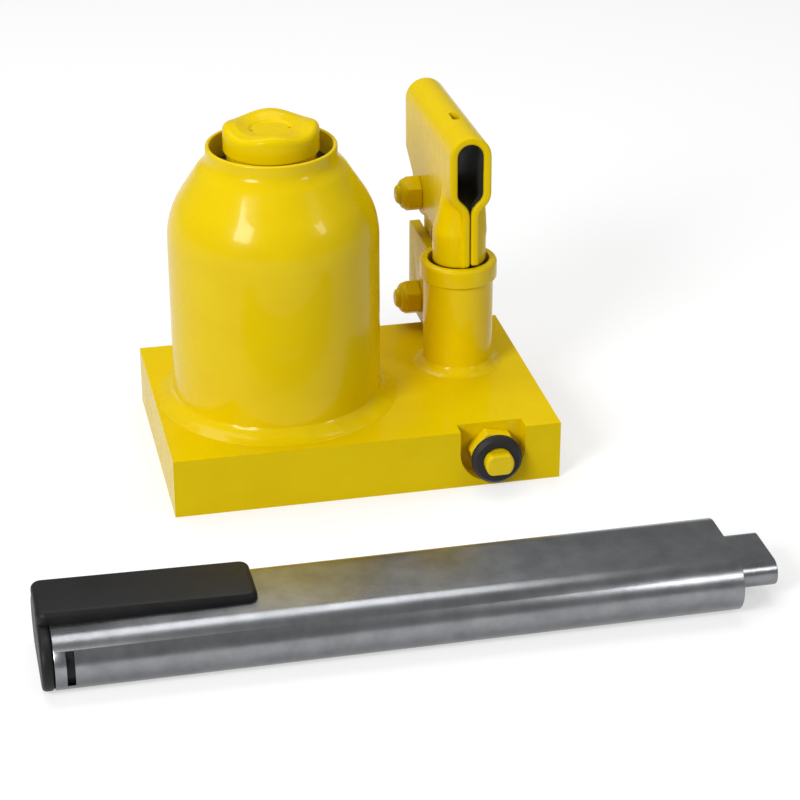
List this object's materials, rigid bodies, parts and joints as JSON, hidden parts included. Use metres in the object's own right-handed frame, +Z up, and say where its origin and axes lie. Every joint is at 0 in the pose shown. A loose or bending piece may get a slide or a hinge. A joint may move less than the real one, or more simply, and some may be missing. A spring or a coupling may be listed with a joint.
{
  "type": "hydraulic bottle jack",
  "caption": "Low hydraulic bottle jack with a dished saddle, a hand pump with a lever socket, a release valve and a two-part flat-oval pump handle.",
  "frame": {"origin": "where the ram's axis meets the ground, on the underside of the base plate", "axes": "+Z up along the ram, +X along the base plate towards the hand pump, +Y to the back; the release valve and the loose handle are on the -Y side"},
  "size_m": [0.3198, 0.3048, 0.1672],
  "materials": {
    "yellow_paint": "gloss",
    "bright_steel": "polished",
    "spring_steel": "drawn wire",
    "dark_steel": "oiled",
    "rubber": "matte",
    "brass": "satin",
    "zinc_plate": "zinc plated",
    "black_plastic": "fine grain"
  },
  "bodies": {
    "jack_body": {"base_plate": "yellow_paint", "reservoir_shell": "yellow_paint", "reservoir_weld": "yellow_paint", "pressure_cylinder": "bright_steel", "cylinder_gasket": "brass", "top_gland": "dark_steel", "gland_o_ring": "rubber", "ram_wiper": "rubber", "filler_plug": "rubber", "pump_tube": "yellow_paint", "pump_weld_bead": "yellow_paint", "pump_gland": "dark_steel", "pump_seal": "rubber", "pivot_bracket": "yellow_paint", "lower_bolt": "yellow_paint", "lower_nut": "yellow_paint", "valve_gland": "yellow_paint", "passage_plugs": "dark_steel", "release_ball": "bright_steel", "discharge_ball": "bright_steel", "discharge_spring": "spring_steel", "suction_ball": "bright_steel", "suction_spring": "spring_steel", "relief_ball": "bright_steel", "relief_spring": "spring_steel", "relief_screw": "dark_steel"},
    "ram": {"ram": "bright_steel", "saddle": "yellow_paint", "piston_seal": "rubber", "piston_guide_ring": "brass"},
    "plunger": {"plunger": "bright_steel"},
    "link": {"link": "yellow_paint"},
    "lever": {"lever_socket": "yellow_paint", "plunger_pin": "yellow_paint", "upper_bolt": "yellow_paint", "upper_nut": "yellow_paint"},
    "release_spindle": {"release_spindle": "yellow_paint", "release_ring": "rubber", "spindle_o_ring": "rubber"},
    "handle": {"handle_tube": "zinc_plate", "handle_grip": "black_plastic", "handle_guide": "black_plastic"},
    "handle_extension": {"handle_extension": "zinc_plate", "extension_shoe": "black_plastic"}
  },
  "joints": [
    {"name": "ram_slide", "type": "slide", "parent": "jack_body", "child": "ram", "axis": [0, 0, 1], "range_m": [0, 0.078]},
    {"name": "link_swing", "type": "hinge", "parent": "jack_body", "child": "link", "pos_m": [0.0961, 0.062, 0.0439], "axis": [1, 0, 0], "range_deg": [0, 2]},
    {"name": "lever_swing", "type": "hinge", "parent": "link", "child": "lever", "pos_m": [0.0961, 0.067, 0.0989], "axis": [-1, 0, 0], "range_deg": [0, 28]},
    {"name": "plunger_slide", "type": "slide", "parent": "jack_body", "child": "plunger", "axis": [0, 0, 1], "range_m": [0, 0.0236]},
    {"name": "release_turn", "type": "hinge", "parent": "jack_body", "child": "release_spindle", "pos_m": [0.0936, -0.0625, 0.0148], "axis": [0, -1, 0], "range_deg": [0, 360]},
    {"name": "handle_lift", "type": "slide", "parent": "jack_body", "child": "handle", "axis": [0, 0, 1], "range_m": [0, 0.2]},
    {"name": "extension_slide", "type": "slide", "parent": "handle", "child": "handle_extension", "axis": [1, 0, 0], "range_m": [0, 0.17]}
  ],
  "couplings": [
    {"joint": "link_swing", "follows": "lever_swing", "ratio": 0.0707},
    {"joint": "plunger_slide", "follows": "lever_swing", "m_per_rad": 0.0481}
  ]
}
